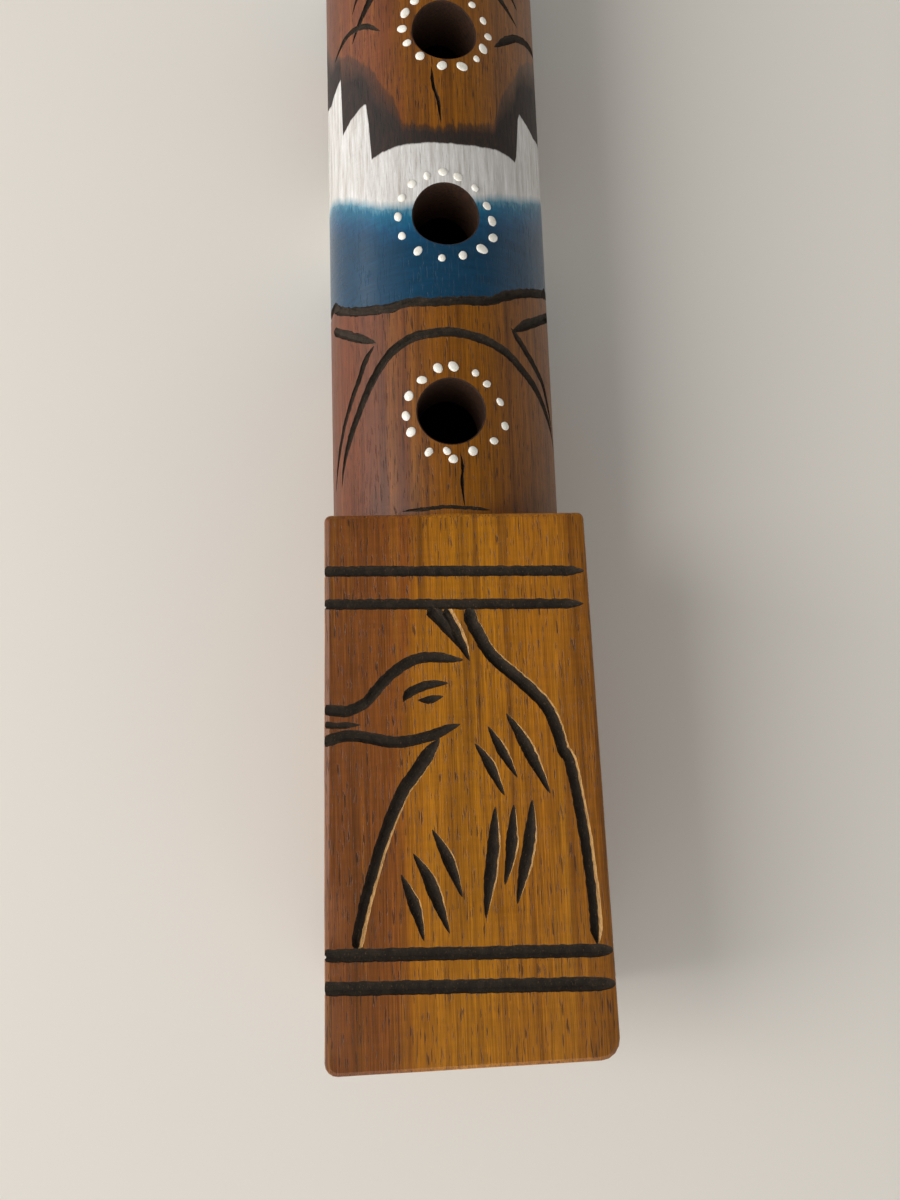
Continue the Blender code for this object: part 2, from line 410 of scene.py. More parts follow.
def hole_cutter(number, y):
    """Rings from inside the bore to above the barrel, each widened by its own measure."""
    shape = bmesh.new()
    steps = len(HOLE_RINGS) - 1
    bmesh.ops.create_cone(shape, cap_ends=True, segments=HOLE_SEGMENTS, radius1=1, radius2=1,
                          depth=steps, matrix=Matrix.Translation((0, 0, steps / 2)))
    for level in range(1, steps):
        bmesh.ops.bisect_plane(shape, geom=everything(shape), plane_co=(0, 0, level),
                               plane_no=(0, 0, 1))
    for vert in shape.verts:
        wider, rise = HOLE_RINGS[round(vert.co.z)]
        turn = atan2(vert.co.x, vert.co.y)
        wobble = 0.1 * noise.noise((cos(turn), sin(turn), number * 3.1))
        radius = HOLE_RADIUS + (wider + wobble) * MM
        x = radius * sin(turn) + HOLE_DRIFTS.get(number, 0)
        surface = sqrt(BARREL_RADIUS ** 2 - x * x)
        vert.co = (x, y + radius * cos(turn), AXIS_Z + surface + rise * MM)
    return finished_raw(shape, f"hole_cutter_{number}")


def finished_raw(shape, name, finish=RAW):
    for face in shape.faces:
        face.material_index = finish
    return with_finishes(to_object(shape, name))


def side_profile(name, points_yz, width):
    """A prism across the flute from an outline in Y and Z."""
    shape = bmesh.new()
    outline = shape.faces.new([shape.verts.new((-width / 2, y, z)) for y, z in points_yz])
    swept = bmesh.ops.extrude_face_region(shape, geom=[outline])
    moved = [item for item in swept["geom"] if isinstance(item, bmesh.types.BMVert)]
    bmesh.ops.translate(shape, verts=moved, vec=(width, 0, 0))
    return finished_raw(shape, name, BARE_WOOD_AND_HIGHLIGHT)


above = FRONT_Z + CUT_PAST
lip_y = plug_low.y - WINDOW_LENGTH
slope_top_y = lip_y - (above - LIP_Z) * LIP_SLOPE_LENGTH / (FRONT_Z - LIP_Z)
opening_cutters = [
    cylinder("bore_cutter", FOOT_Y - CUT_PAST, MOUTH_Y + CUT_PAST, BORE_RADIUS, segments=72),
    cylinder("mouth_ease_cutter", FOOT_Y - MOUTH_EASE, FOOT_Y + MOUTH_EASE,
             BORE_RADIUS + 2 * MOUTH_EASE, BORE_RADIUS, segments=72),
    side_profile("window_cutter", (
        (slope_top_y, above), (lip_y, LIP_Z), (lip_y, AXIS_Z), (plug_low.y, AXIS_Z),
        (plug_low.y, above)), WINDOW_WIDTH),
    side_profile("windway_cutter", (
        (lip_y + WINDOW_LENGTH / 2, AXIS_Z), (MOUTH_Y + CUT_PAST, AXIS_Z),
        (MOUTH_Y + CUT_PAST, WINDWAY_ROOF_Z), (lip_y + WINDOW_LENGTH / 2, WINDWAY_ROOF_Z)),
        WINDWAY_WIDTH),
]
for cutter in opening_cutters[:2]:
    for face in cutter.data.polygons:
        face.material_index = RAW
opening_cutters += [hole_cutter(number, y) for number, y in enumerate(hole_ys, start=1)]
print(len(opening_cutters), "cutters for the openings")

# %% [markdown]
# ## The carved figures
# The front of the foot shows a water bird, a folk motif that many carvers cut, between two
# pairs of straight bands. Arches stand over the first, third and fifth finger holes, with
# small leaves beside them, and a rough border runs under each lake. The lines that the
# picture shows are given by their places in it, and the camera's ray lays them on the wood.

# %% Lines on the front of the foot
# Each line: its name, its places in the picture, width and depth in mm, tips, and the bare share
# where the bright wall with its painted highlight starts
BIRD_LINES = (
    ("crest_left", ((428, 607), (440, 618), (452, 633), (462, 650)), 1.9, 0.8, (0.5, 4), None),
    ("crest_right", ((446, 607), (454, 622), (462, 640), (470, 661)), 1.8, 0.9, (0.5, 3),
     (0.3, 0.5)),
    ("neck", ((470, 606), (471, 619), (480, 636), (491, 653.5), (508, 669), (528, 686),
              (545, 703), (556, 723), (564, 749), (571, 760), (580, 801), (587, 840),
              (592, 875), (596, 909), (598.5, 946)), 1.8, 0.95, (1, 2), (0.98, 0.35)),
    ("brow", ((320, 709), (336, 711), (348, 711), (365, 703), (378, 688), (393, 673),
              (413, 660), (434, 657), (452, 659), (464, 660)), 1.4, 0.75, (0.5, 3), None),
    ("eye_upper", ((403, 702), (408, 694), (421, 687), (434, 684), (449, 683)), 1.2, 0.6,
     (1.2, 2.5), None),
    ("eye_lower", ((417, 700), (428, 700), (444, 696)), 1.05, 0.5, (1.5, 1.5), None),
    ("beak_middle", ((320, 725), (340, 725.5), (361, 725)), 0.85, 0.5, (0.5, 2), None),
    ("lower_jaw", ((320, 743), (341, 737), (356, 736), (374, 739), (391, 742), (408, 741),
                   (430, 736), (447, 729), (461, 724)), 1.45, 0.8, (0.5, 3), None),
    ("breast", ((440, 738), (428, 755), (415, 775), (405.6, 788), (394, 813), (385, 838),
                (376, 868), (367, 902), (361, 930), (357, 952)), 1.8, 0.9, (2.5, 0.8),
     (0.98, 0.2)),
)
FEATHERS = (
    ((474.5, 743), (489, 762), (505, 796)), ((488, 726), (502, 749), (518, 778)),
    ((506, 713), (525.5, 742), (551, 794)), ((495.5, 806), (494, 852), (486, 919)),
    ((514, 804), (512, 852), (505, 886)), ((532.5, 799), (530, 845), (517.5, 905)),
    ((432, 829), (449, 859), (463, 898)), ((413, 853), (431, 882), (450, 934)),
    ((401, 874), (416, 907), (424.5, 942)),
)
SHOULDER_BANDS = (8.2 * MM, 12.4 * MM)
END_BANDS = (9.8 * MM, 14.0 * MM)
# The bands on the front lie a little slanted, and are given by their two ends
FRONT_BANDS = (((320, 571.5), (585, 570.5), 1.4), ((320, 604.5), (584, 603.5), 1.4),
               ((320, 956.5), (617, 950), 1.6), ((320, 989.5), (620, 983.5), 1.7))
BAND_MARGIN = 0.35 * MM

front_of_foot = lay_on_block(0)
strokes = []
for name, pixels, width, depth, tips, bare in BIRD_LINES:
    strokes.append(stroke(name, [seen_on_front(*pixel) for pixel in pixels], front_of_foot,
                          width, depth, tips, bare, rough=0.07))
for number, pixels in enumerate(FEATHERS):
    strokes.append(stroke(f"feather_{number}", [seen_on_front(*pixel) for pixel in pixels],
                          front_of_foot, 1.85, 0.85, (4.5, 5), (0.72, 0.62),
                          rough=0.07))
for number, (left, right, width) in enumerate(FRONT_BANDS):
    ends = [seen_on_front(*left), seen_on_front(*right)]
    strokes.append(stroke(f"front_band_{number}", ends, front_of_foot, width, 0.75,
                          (0.3, 2.2), rough=0.08))
print(len(strokes), "strokes on the foot's front")

# %% [markdown]
# The picture doesn't show the other sides. Their bands go on round from the front, because
# a band on one side alone would look unfinished, and the head is banded as the foot is.

# %% Bands on the other sides and on the head
STEP_UNSEEN = 1.3


def band_across(name, side, y, width=1.5):
    half = (AXIS_Z if side in (1, 3) else block_half_width(y)) - BAND_MARGIN
    strokes.append(stroke(name, ((-half, y), (half, y)), lay_on_block(side), width, 0.75,
                          (1.5, 1.5), rough=0.07, step=STEP_UNSEEN))


foot_bands = ([FOOT_SHOULDER_Y - setback for setback in SHOULDER_BANDS]
              + [FOOT_Y + setback for setback in END_BANDS])
head_bands = ([HEAD_SHOULDER_Y + setback for setback in SHOULDER_BANDS]
              + [MOUTH_Y - setback for setback in END_BANDS])
for side in range(4):
    for number, y in enumerate(foot_bands):
        if side > 0:
            band_across(f"foot_band_{side}_{number}", side, y)
    for number, y in enumerate(head_bands):
        band_across(f"head_band_{side}_{number}", side, y)
print(len(strokes), "strokes with the bands")

# %% Arches, leaves and borders on the barrel
# Each line: its places in the picture, width and depth in mm, and its tips
ARCH_LINES = (
    (((342, 488), (344, 466), (350, 439), (359, 413), (369, 388), (382, 364), (396, 348),
      (414, 337), (433, 333), (453, 332), (473, 336), (492, 343.5), (508, 354), (522, 370),
      (535, 388), (545, 411), (551, 433), (554, 456)), 1.35, 0.75, (7, 7)),
    (((374, 346), (365, 362), (359, 380), (351, 403), (344, 429), (339, 458), (336, 494)),
     1.0, 0.55, (2, 6)),
    (((511, 328), (522, 345.5), (535, 368), (543, 386), (548, 409), (552, 434)), 1.15, 0.6,
     (2, 4)),
    (((334, 331.5), (349, 336), (376, 343)), 1.35, 0.7, (1, 3)),
    (((512, 332), (529, 324), (547, 317.5)), 1.45, 0.7, (3, 1)),
)
SIDE_LEAVES = (
    (((380, 31), (367, 26.5), (353, 31), (343, 43), (335, 63)), 0.95, 0.55, (3, 3)),
    (((494, 47), (506, 41), (516, 39), (526.5, 45), (534, 60)), 1.2, 0.6, (3, 3)),
)
BORDER = ((334, 310), (353, 312), (386, 309), (406, 303), (433, 302), (463, 300.6),
          (490, 300.6), (508, 295.5), (545, 295.5))
TWO_HOLES = 2 * HOLE_PITCH


def on_barrel(name, pixels, width, depth, tips, copies, step=0.6, shorter=(0, 0)):
    """The same line at a hole and at every second hole above it.

    The copies lose some places at either end, as they stop short of the painted peaks."""
    points = [seen_on_barrel(*pixel) for pixel in pixels]
    for copy in copies:
        kept = points[shorter[0]:len(points) - shorter[1]] if copy else points
        moved = [(u, y + copy * TWO_HOLES) for u, y in kept]
        strokes.append(stroke(f"{name}_{copy}", moved, lay_on_barrel, width, depth, tips,
                              rough=0.09, step=step))


ARCH_SHORTER = ((3, 3), (0, 4), (0, 3), (0, 0), (0, 0))
for number, (pixels, width, depth, tips) in enumerate(ARCH_LINES):
    on_barrel(f"arch_line_{number}", pixels, width, depth, tips, range(3),
              shorter=ARCH_SHORTER[number])
for number, (pixels, width, depth, tips) in enumerate(SIDE_LEAVES):
    on_barrel(f"side_leaf_{number}", pixels, width, depth, tips, range(2))
border = [seen_on_barrel(*pixel) for pixel in BORDER]
half_round = pi * BARREL_RADIUS
behind = [(u, border[-1][1] + (border[0][1] - border[-1][1]) * share + 0.3 * MM * wave)
          for u, share, wave in ((border[-1][0] - 2 * MM, 0, 0), (half_round * 0.7, 0.25, 1),
                                 (half_round, 0.5, -1), (half_round * 1.3, 0.75, 1),
                                 (2 * half_round + border[0][0] + 2 * MM, 1, 0))]
for copy in range(3):
    for name, points in (("border", border), ("border_behind", behind)):
        moved = [(u, y + copy * TWO_HOLES) for u, y in points]
        strokes.append(stroke(f"{name}_{copy}", moved, lay_on_barrel, 1.35, 0.7, (1, 1),
                              rough=0.14, step=0.7))
SHOULDER_ROOT = ((402, 511.5), (426, 509), (443, 507), (469, 508), (491, 510))
on_barrel("shoulder_root", SHOULDER_ROOT, 0.5, 0.35, (2, 2), range(1))
CRACKS = (((431, 66), (433, 84), (438, 100), (441, 124)),
          ((460, 452), (463, 466), (462, 482), (465, 507)))
for number, pixels in enumerate(CRACKS):
    on_barrel(f"crack_{number}", pixels, 0.45, 0.6, (2, 3), range(1), step=0.9)
TOP_BANDS = (10 * MM, 14.2 * MM)
for number, setback in enumerate(TOP_BANDS):
    y = HEAD_SHOULDER_Y - setback
    for part, start in (("front", -0.52), ("back", 0.48)):
        points = [(half_round * (start + turn), y) for turn in (0, 0.26, 0.52, 0.78, 1.04)]
        strokes.append(stroke(f"top_band_{number}_{part}", points, lay_on_barrel, 1.2, 0.6,
                              (1, 1), rough=0.07, step=1.0))
print(len(strokes), "strokes in all")

# %% [markdown]
# ## Cutting
# Each boolean gathers its cutters in a collection of their own. One boolean joins the blanks,
# one opens the holes and one carves the strokes. The exact solver keeps each cutter's finish on
# the walls it makes.
# The result is kept as a plain mesh and the cutters are thrown away.

# %% Join, open and carve
def gathered(name, objects):
    group = bpy.data.collections.new(name)
    for obj in objects:
        group.objects.link(obj)
    return group


def cut_with(obj, operation, objects):
    """One exact boolean with several objects, applied at once."""
    modifier = obj.modifiers.new(operation, 'BOOLEAN')
    modifier.operation = operation
    modifier.operand_type = 'COLLECTION'
    modifier.solver = 'EXACT'
    modifier.use_self = operation == 'DIFFERENCE' and len(objects) > 20
    group = gathered(operation, objects)
    modifier.collection = group
    view = bpy.context.evaluated_depsgraph_get()
    result = bpy.data.meshes.new_from_object(obj.evaluated_get(view))
    obj.modifiers.clear()
    obj.data = result
    bpy.data.collections.remove(group)
    for used in objects:
        bpy.data.objects.remove(used, do_unlink=True)


cut_with(body, 'UNION', [head, barrel])
cut_with(body, 'DIFFERENCE', opening_cutters)
cut_with(body, 'DIFFERENCE', strokes)
WELD = 0.002 * MM
mended = bmesh.new()
mended.from_mesh(body.data)
bmesh.ops.remove_doubles(mended, verts=mended.verts, dist=WELD)
bmesh.ops.dissolve_degenerate(mended, dist=WELD, edges=mended.edges)
open_edges = [edge for edge in mended.edges if not edge.is_manifold]
mended.to_mesh(body.data)
body.data.validate()
body.data.name = "carved_body"
body.data.shade_smooth()
body.data.set_sharp_from_angle(angle=radians(22))
print("the carved body has", len(body.data.polygons), "faces and", len(open_edges), "open edges")
mended.free()
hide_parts("body")
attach(body, "root")

# %% [markdown]
# ## Writing a material as a recipe
# A node tree is a recipe: noises and colours are made, mixed and fed to the shader. The
# small class below writes each step in one line. All patterns read Object coordinates in
# millimetres, so the grain runs through the wood and comes out right on every cut.

# %% A recipe for node trees
class Recipe:
    def __init__(self, material):
        material.use_nodes = True
        self.tree = material.node_tree
        self.shader = self.tree.nodes["Principled BSDF"]
        place = self.node("TexCoord").outputs["Object"]
        self.mm = self.vector('SCALE', place, Scale=1 / MM)
        self.x, self.y, self.z = self.node("SeparateXYZ", Vector=self.mm).outputs

    def node(self, kind, settings=None, **inputs):
        node = self.tree.nodes.new("ShaderNode" + kind)
        for name, value in (settings or {}).items():
            setattr(node, name, value)
        for name, value in inputs.items():
            self.feed(node.inputs[name.replace("_", " ")], value)
        return node

    def feed(self, socket, value):
        if isinstance(value, bpy.types.NodeSocket):
            self.tree.links.new(value, socket)
        else:
            socket.default_value = value

    def maths(self, operation, *values, clamp=False):
        node = self.node("Math", {"operation": operation, "use_clamp": clamp})
        for socket, value in zip(node.inputs, values):
            self.feed(socket, value)
        return node.outputs[0]

    def vector(self, operation, *values, **inputs):
        node = self.node("VectorMath", {"operation": operation}, **inputs)
        for socket, value in zip(node.inputs, values):
            self.feed(socket, value)
        return node.outputs[0]

    def stretched(self, across, along, shift=0):
        """Coordinates for a pattern with so many features per mm across and along."""
        scaled = self.vector('MULTIPLY', self.mm, (across, along, across))
        return self.vector('ADD', scaled, (shift, shift, shift))

    def noise(self, across, along, detail=3, rough=0.5, shift=0):
        return self.node("TexNoise", Vector=self.stretched(across, along, shift), Scale=1.0,
                         Detail=float(detail), Roughness=rough).outputs["Fac"]

    def remap(self, value, low, high, to_low=0.0, to_high=1.0):
        """A value's stretch from low to high, moved to another stretch and held there."""
        node = self.node("MapRange", {"clamp": True})
        for socket, given in zip(node.inputs, (value, low, high, to_low, to_high)):
            self.feed(socket, given)
        return node.outputs[0]

    def ramp(self, value, stops):
        node = self.node("ValToRGB", Fac=value)
        elements = node.color_ramp.elements
        while len(elements) < len(stops):
            elements.new(0.5)
        for element, (place, colour) in zip(elements, stops):
            element.position = place
            element.color = (*colour, 1)
        return node.outputs[0]

    def mix(self, share, first, second, blend='MIX'):
        node = self.node("Mix", {"data_type": 'RGBA', "blend_type": blend})
        self.feed(node.inputs["Factor"], share)
        for name, value in (("A", first), ("B", second)):
            socket = node.inputs[6] if name == "A" else node.inputs[7]
            self.feed(socket, value if isinstance(value, bpy.types.NodeSocket)
                      else (*value, 1))
        return node.outputs[2]

    def curve(self, value, points):
        """A drawn line: heights over places, both from 0 to 1, straight between points."""
        node = self.node("FloatCurve", Value=value)
        line = node.mapping.curves[0]
        while len(line.points) < len(points):
            line.points.new(0.5, 0.5)
        for point, place in zip(line.points, sorted(points)):
            point.location = place
            point.handle_type = 'VECTOR'
        node.mapping.update()
        return node.outputs[0]

    def bump(self, height, distance_mm, strength=1.0, below=None):
        node = self.node("Bump", Height=height, Distance=distance_mm * MM, Strength=strength)
        if below is not None:
            self.feed(node.inputs["Normal"], below)
        return node.outputs[0]

    def finish(self, **inputs):
        for name, value in inputs.items():
            self.feed(self.shader.inputs[name.replace("_", " ")], value)


print("recipes are ready")

# %% [markdown]
# ## Varnished wood and paint
# The block was sawn where dark heartwood meets amber wood, so its colour changes across the
# flute, with dark streaks, fine fibres and open pores along it. On the barrel the maker
# painted a lake, a shore of white and snow peaks with dark rock over them. The edges of the
# paint are drawn lines over the angle round the barrel, in degrees from the front.

# %% Drawn lines of the painting
WATERLINE = ((333, 203), (345, 201), (380, 206), (400, 206), (415, 205), (480, 200), (500, 197),
             (520, 200), (543, 203))
SKYLINE = ((331.5, 107), (341, 79), (342.6, 137), (350, 122), (365, 103.5), (368, 108),
           (370, 161), (378, 155), (388, 150), (397, 146.5), (414, 143.5), (441, 143),
           (463, 145), (480, 147), (496, 150), (510, 158), (516, 164), (518, 113),
           (524, 122), (533, 139), (540, 150))
SHADE_TOP = ((331, 60), (337, 58), (350, 56), (372, 70), (385, 90), (395, 100), (402, 124),
             (440, 126), (492, 125), (496, 122), (498, 107), (504, 92), (511, 82), (521, 65),
             (533, 62))
BEHIND_WATERLINE = ((90, 9), (120, 10), (150, 9), (180, 10), (210, 9), (240, 10), (270, 9))
BEHIND_SKYLINE = ((88, 20), (100, 30), (103, 17), (118, 23), (135, 33), (139, 16), (160, 21),
                  (180, 28), (197, 35), (201, 18), (220, 24), (236, 30), (240, 17), (262, 19),
                  (275, 27))
BEHIND_SHADE = ((95, 38), (130, 40), (160, 33), (190, 41), (230, 37), (275, 41))
LOCAL_LOW = -20.8
LOCAL_SPAN = TWO_HOLES / MM
SECOND_HOLE_Y_MM = hole_ys[1] / MM


def painted_line(pixels, behind):
    """Places for a Float Curve: the turn round the barrel against the height, 0 to 1."""
    places = []
    for pixel in pixels:
        u, y = seen_on_barrel(*pixel)
        places.append((u / BARREL_RADIUS * 180 / pi, y / MM - SECOND_HOLE_Y_MM))
    places += behind
    turned = [(turn - 360 if turn > 180 else turn, height) for turn, height in places]
    turned.sort()
    first, last = turned[0], turned[-1]
    turned = [(last[0] - 360, last[1]), *turned, (first[0] + 360, first[1])]
    return [((turn + 180) / 360, (height - LOCAL_LOW) / LOCAL_SPAN)
            for turn, height in turned if -185 < turn < 185]


print("the waterline has", len(painted_line(WATERLINE, BEHIND_WATERLINE)), "points")

# %% Wood colours
DARK_WOOD = (0.15, 0.046, 0.010)
RED_WOOD = (0.225, 0.066, 0.008)
AMBER_WOOD = (0.385, 0.146, 0.004)
BROWN_WOOD = (0.24, 0.084, 0.006)
STAIN_BLACK = (0.022, 0.017, 0.013)
ACROSS_LOW = -20.0
ACROSS_SPAN = 40.0


def across_stops(places):
    """Ramp stops from places across the flute in mm."""
    return [((place - ACROSS_LOW) / ACROSS_SPAN, colour) for place, colour in places]


WOOD_STOPS = across_stops((
    (-18, DARK_WOOD), (-9, (0.205, 0.062, 0.009)), (-6.2, RED_WOOD),
    (-5.0, (0.345, 0.122, 0.005)), (2, AMBER_WOOD), (9, (0.35, 0.128, 0.005)),
    (14, (0.31, 0.110, 0.006)), (18, BROWN_WOOD)))


def wood_colour(recipe):
    """The two-tone wood and a height for its grain."""
    drift = recipe.noise(0.06, 0.012, 2, shift=5)
    bend = recipe.remap(drift, 0.2, 0.8, -1.8, 1.8)
    aslant = recipe.remap(recipe.y, FOOT_SHOULDER_Y / MM - 25, FOOT_SHOULDER_Y / MM + 25,
                          0.0, -2.5)
    bend = recipe.maths('ADD', bend, aslant)
    lean = recipe.maths('MULTIPLY', recipe.maths('SUBTRACT', recipe.z, AXIS_Z / MM), 0.12)
    across = recipe.maths('ADD', recipe.maths('ADD', recipe.x, bend), lean)
    colour = recipe.ramp(recipe.remap(across, ACROSS_LOW, ACROSS_LOW + ACROSS_SPAN),
                         WOOD_STOPS)
    streaks = recipe.noise(0.75, 0.018, 3, 0.55, shift=11)
    dark_streaks = recipe.remap(streaks, 0.50, 0.68, 0.0, 0.6)
    colour = recipe.mix(dark_streaks, colour, (0.095, 0.030, 0.004))
    light_streaks = recipe.remap(recipe.noise(0.5, 0.012, 2, 0.5, shift=31), 0.55, 0.75, 0, 0.4)
    colour = recipe.mix(light_streaks, colour, (0.46, 0.19, 0.010))
    fibres = recipe.noise(7.0, 0.16, 4, 0.65, shift=3)
    shade = recipe.remap(fibres, 0.3, 0.7, 0.62, 1.36)
    hairs = recipe.noise(9.0, 0.05, 2, 0.6, shift=9)
    shade = recipe.maths('MULTIPLY', shade, recipe.remap(hairs, 0.3, 0.7, 0.78, 1.22))
    ripple = recipe.noise(0.25, 1.6, 2, 0.5, shift=17)
    shade = recipe.maths('MULTIPLY', shade, recipe.remap(ripple, 0.3, 0.7, 0.94, 1.06))
    colour = recipe.mix(1.0, colour, recipe.node("CombineColor", Red=shade, Green=shade,
                                                 Blue=shade).outputs[0], 'MULTIPLY')
    pores = recipe.remap(recipe.noise(5.5, 0.42, 1, 0.4, shift=23), 0.63, 0.69, 0.0, 1.0)
    colour = recipe.mix(recipe.maths('MULTIPLY', pores, 0.7), colour, (0.03, 0.012, 0.006))
    height = recipe.maths('SUBTRACT', recipe.maths('MULTIPLY', fibres, 0.35), pores)
    return colour, height


# %% The body's varnished wood with its painted lakes
def below(recipe, edge, value, softness):
    """1 where a value lies under an edge, 0 over it, with a soft step between."""
    step = recipe.maths('DIVIDE', recipe.maths('SUBTRACT', edge, value), softness)
    return recipe.maths('ADD', step, 0.5, clamp=True)


def make_varnished_wood(material):
    recipe = Recipe(material)
    colour, height = wood_colour(recipe)
    axis_rise = recipe.maths('SUBTRACT', recipe.z, AXIS_Z / MM)
    turn = recipe.maths('ARCTAN2', recipe.x, axis_rise)
    around = recipe.maths('ADD', recipe.maths('DIVIDE', turn, 2 * pi), 0.5)
    from_hole = recipe.maths('SUBTRACT', recipe.y, SECOND_HOLE_Y_MM)
    local = recipe.maths('WRAP', from_hole, LOCAL_LOW + LOCAL_SPAN, LOCAL_LOW)
    # A line's edge is ragged by noise, more so between the water and the snow
    fray = recipe.remap(recipe.noise(1.3, 0.25, 4, 0.6, shift=41), 0.2, 0.8, -1, 1)
    fine_fray = recipe.remap(recipe.noise(3.0, 0.7, 3, 0.6, shift=47), 0.2, 0.8, -1, 1)

    def line(pixels, behind, wobble):
        drawn = recipe.curve(around, painted_line(pixels, behind))
        height_mm = recipe.maths('MULTIPLY_ADD', drawn, LOCAL_SPAN, LOCAL_LOW)
        return recipe.maths('ADD', height_mm, recipe.maths('MULTIPLY', fray, wobble))

    water_edge = line(WATERLINE, BEHIND_WATERLINE, 0.35)
    sky_edge = line(SKYLINE, BEHIND_SKYLINE, 0.15)
    shade_edge = line(SHADE_TOP, BEHIND_SHADE, 0.9)
    bottom = recipe.curve(around, painted_line(BORDER, ((120, -7), (180, -7), (240, -7))))
    bottom_edge = recipe.maths('MULTIPLY_ADD', bottom, LOCAL_SPAN, LOCAL_LOW)
    over_bottom = recipe.maths('SUBTRACT', 1.0, below(recipe, bottom_edge, local, 0.2))
    under_water = below(recipe, water_edge, local, 1.4)
    under_sky = below(recipe, sky_edge, local, 0.25)
    # The painting repeats at the second, fourth and sixth finger hole
    over_lowest = below(recipe, from_hole, LOCAL_LOW, 0.1)
    under_highest = below(recipe, LOCAL_LOW + 3 * LOCAL_SPAN, from_hole, 0.1)
    on_lakes = recipe.maths('MULTIPLY', over_lowest, under_highest)

    # Darker on the barrel than on the blocks; across the barrel a painted shade darkens the
    # middle and the right side, which turn from the lamp, and a painted sheen keeps the left
    # flank lighter and purplish
    over_foot = below(recipe, recipe.y, FOOT_SHOULDER_Y / MM, 0.1)
    under_head = below(recipe, HEAD_SHOULDER_Y / MM, recipe.y, 0.1)
    on_barrel = recipe.maths('MULTIPLY', over_foot, under_head)
    darkening_with_sheen_and_shade = recipe.mix(recipe.remap(recipe.x, -13, -6), (0.84, 0.68, 1.0), (0.57, 0.52, 0.75))
    darkened_colour = recipe.mix(1.0, colour, darkening_with_sheen_and_shade, 'MULTIPLY')
    colour = recipe.mix(on_barrel, colour, darkened_colour)

    # Dark rock, a glaze of black over the peaks that thins out at its top
    under_shade = recipe.maths('SUBTRACT', shade_edge, local)
    thickness = recipe.maths('MAXIMUM', recipe.maths('SUBTRACT', shade_edge, sky_edge), 0.5)
    share = recipe.maths('DIVIDE', under_shade, thickness)
    rock = recipe.remap(under_shade, -0.25, 0.3, 0.0, 1.0)
    rock_dry = recipe.remap(recipe.noise(2.2, 0.35, 4, 0.7, shift=59), 0.3, 0.7, 0.86, 1.0)
    rock_share = recipe.maths('MULTIPLY', recipe.maths('MULTIPLY', rock, rock_dry),
                              recipe.remap(share, 0.0, 0.4, 0.55, 1.0))
    glaze = recipe.maths('MULTIPLY', rock_share, on_lakes)
    glaze = recipe.maths('MULTIPLY', glaze, over_bottom)
    colour = recipe.mix(glaze, colour, (0.011, 0.010, 0.010))

    # Snow, streaked and worn
    worn = recipe.noise(1.6, 0.12, 5, 0.7, shift=71)
    snow = recipe.mix(recipe.remap(worn, 0.35, 0.7, 0.0, 1.0), (0.74, 0.73, 0.72),
                      (0.42, 0.39, 0.36))
    cover = recipe.remap(recipe.noise(2.4, 0.2, 5, 0.7, shift=83), 0.26, 0.36, 0.35, 0.97)
    snow_share = recipe.maths('MULTIPLY', recipe.maths('MULTIPLY', under_sky, cover),
                              recipe.maths('MULTIPLY', on_lakes, over_bottom))
    colour = recipe.mix(snow_share, colour, snow)

    # Water, pale at its edge and deep below
    rise = recipe.maths('SUBTRACT', water_edge, local)
    deep = recipe.remap(recipe.maths('ADD', rise, fine_fray), 0.2, 6.5, 0.0, 1.0)
    water = recipe.ramp(deep, ((0.0, (0.10, 0.25, 0.33)), (0.22, (0.010, 0.110, 0.20)),
                               (0.6, (0.006, 0.060, 0.135)), (1.0, (0.006, 0.042, 0.088))))
    brush = recipe.remap(recipe.noise(0.25, 1.5, 4, 0.6, shift=97), 0.3, 0.7, 0.85, 1.15)
    water = recipe.mix(1.0, water, recipe.node("CombineColor", Red=brush, Green=brush,
                                               Blue=brush).outputs[0], 'MULTIPLY')
    water_share = recipe.maths('MULTIPLY', recipe.maths('MULTIPLY', under_water, over_bottom),
                               on_lakes)
    colour = recipe.mix(water_share, colour, water)

    painted = recipe.maths('MAXIMUM', water_share, snow_share)
    rough = recipe.remap(painted, 0.0, 1.0, 0.42, 0.24)
    rough = recipe.maths('MAXIMUM', rough, recipe.maths('MULTIPLY', 0.7, recipe.maths(
        'SUBTRACT', glaze, painted)))
    film = recipe.maths('MULTIPLY', painted, recipe.remap(brush, 0.85, 1.15, 0.4, 1.0))
    grain = recipe.bump(height, 0.07, 0.6)
    normal = recipe.bump(film, 0.05, 0.5, below=grain)
    recipe.finish(Base_Color=colour, Roughness=rough, Normal=normal)
    recipe.finish(Specular_IOR_Level=0.32)


make_varnished_wood(finishes[WOOD])
print("the wood takes", len(finishes[WOOD].node_tree.nodes), "nodes")

# %% [markdown]
# ## Stain, bare wood with a painted highlight, and the bore
# The stain was brushed into the cuts and has dried matt, with specks where it didn't take.
# A bright wall is bare cut wood, paler than the varnish; on the strokes it is put on the wall
# that faces the lamp, where it is also a painted highlight.

# %% Stain, bare cut wood with a painted highlight, and the raw bore
def make_black_stain(material):
    recipe = Recipe(material)
    specks = recipe.remap(recipe.noise(4.5, 2.2, 3, 0.7, shift=101), 0.60, 0.72, 0.0, 0.75)
    cloud = recipe.noise(1.1, 0.6, 4, 0.6, shift=107)
    base = recipe.mix(recipe.remap(cloud, 0.3, 0.7), STAIN_BLACK, (0.045, 0.033, 0.024))
    colour = recipe.mix(specks, base, (0.16, 0.10, 0.05))
    normal = recipe.bump(recipe.noise(5.0, 3.0, 4, 0.7, shift=109), 0.12, 0.8)
    recipe.finish(Base_Color=colour, Roughness=0.78, Specular_IOR_Level=0.15, Normal=normal)


